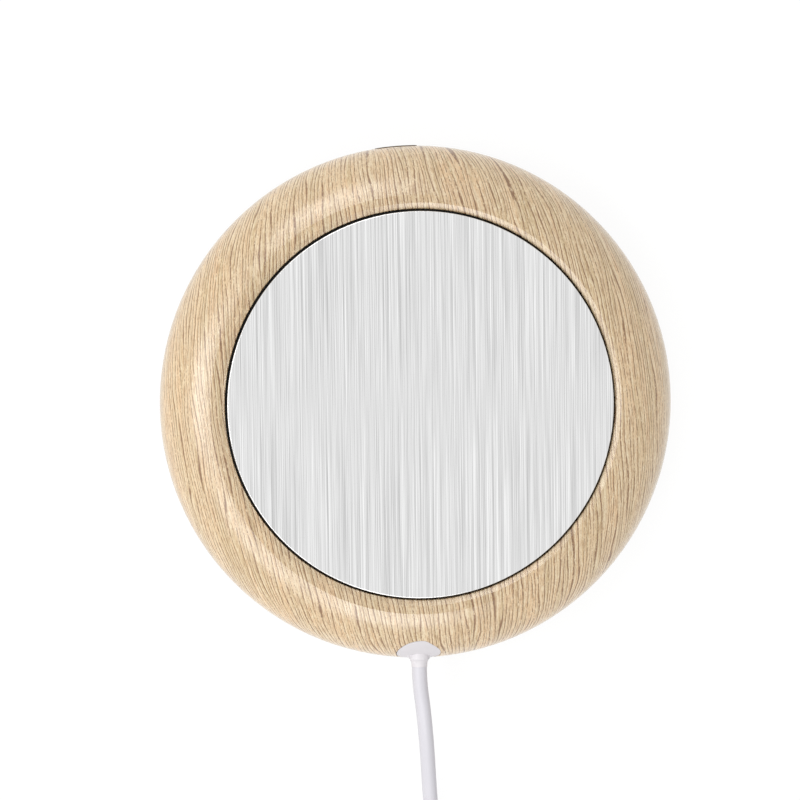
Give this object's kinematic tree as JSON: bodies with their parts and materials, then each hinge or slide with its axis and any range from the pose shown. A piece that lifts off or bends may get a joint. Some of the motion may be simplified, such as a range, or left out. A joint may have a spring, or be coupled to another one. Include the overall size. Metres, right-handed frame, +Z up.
{
  "type": "electric mug warmer",
  "caption": "Round, low mug warmer with a brushed steel heating plate in a domed wood-look ring, a push button in its side wall and a white cord to a USB-A plug.",
  "frame": {"origin": "on the table, under the middle of the heating plate", "axes": "+Z up out of the heating plate; the cord leaves towards -Y and the push button is in the wall at +Y"},
  "size_m": [0.1336, 0.2438, 0.025],
  "materials": {
    "wood_print_plastic": "satin moulding with a light wood-grain print",
    "base_plastic": "fine spark texture, very dark brown",
    "feet_rubber": "matt",
    "zinc_screws": "bright zinc plating",
    "brushed_plate": "brushed along Y",
    "seal_silicone": "matt",
    "carrier_plastic": "glass-filled, satin",
    "polyimide_film": "clear amber film",
    "etched_foil": "bare foil",
    "fibre_pad": "pressed mineral fibre",
    "zinc_sheet": "zinc-plated sheet",
    "cutout_case": "pressed, satin",
    "spring_steel": "bright",
    "rivet_aluminium": "satin",
    "gland_plastic": "satin white",
    "cord_jacket": "soft satin white",
    "clamp_plastic": "satin",
    "button_plastic": "satin, very dark brown",
    "plunger_plastic": "natural acetal",
    "contact_brass": "gold flash",
    "switch_plastic": "moulded",
    "tinned_pins": "tinned",
    "board_laminate": "glass laminate with solder mask",
    "black_lead": "satin",
    "red_lead": "satin",
    "tie_strap": "flat twist tie",
    "plug_steel": "nickel-plated",
    "tongue_plastic": "moulded"
  },
  "bodies": {
    "housing": {"upper_casing": "wood_print_plastic", "base_cover": "base_plastic", "rubber_feet": "feet_rubber", "casing_screws": "zinc_screws", "heating_plate": "brushed_plate", "plate_seal": "seal_silicone", "plate_carrier": "carrier_plastic", "carrier_screws": "zinc_screws", "heater_film": "polyimide_film", "heater_track": "etched_foil", "insulation_pad": "fibre_pad", "pressure_plate": "zinc_sheet", "stud_washers": "zinc_sheet", "stud_nuts": "zinc_screws", "thermal_cutout": "cutout_case", "cutout_clip": "spring_steel", "clip_rivets": "rivet_aluminium", "gland": "gland_plastic", "cord_tail": "cord_jacket", "cord_clamp": "clamp_plastic", "clamp_screws": "zinc_screws", "switch_case": "switch_plastic", "switch_spring": "spring_steel", "switch_pins": "tinned_pins", "switch_board": "board_laminate", "board_screws": "zinc_screws", "lead_cord_to_heater": "black_lead", "lead_cord_to_switch": "red_lead", "lead_switch_to_cutout": "red_lead", "lead_cutout_to_heater": "red_lead", "cord_lead": "cord_jacket", "cord_coil": "cord_jacket", "cord_end": "cord_jacket", "coil_tie": "tie_strap", "plug_overmould": "cord_jacket", "plug_shell": "plug_steel", "plug_tongue": "tongue_plastic", "plug_contacts": "contact_brass"},
    "button": {"power_button": "button_plastic", "switch_plunger": "plunger_plastic", "contact_clips": "contact_brass"}
  },
  "joints": [
    {"name": "power_button_press", "type": "slide", "parent": "housing", "child": "button", "axis": [0, -1, 0], "range_m": [0, 0.0018], "stiffness_N_per_m": 800, "springref_m": -0.0008, "deforming": ["switch_spring"]}
  ]
}
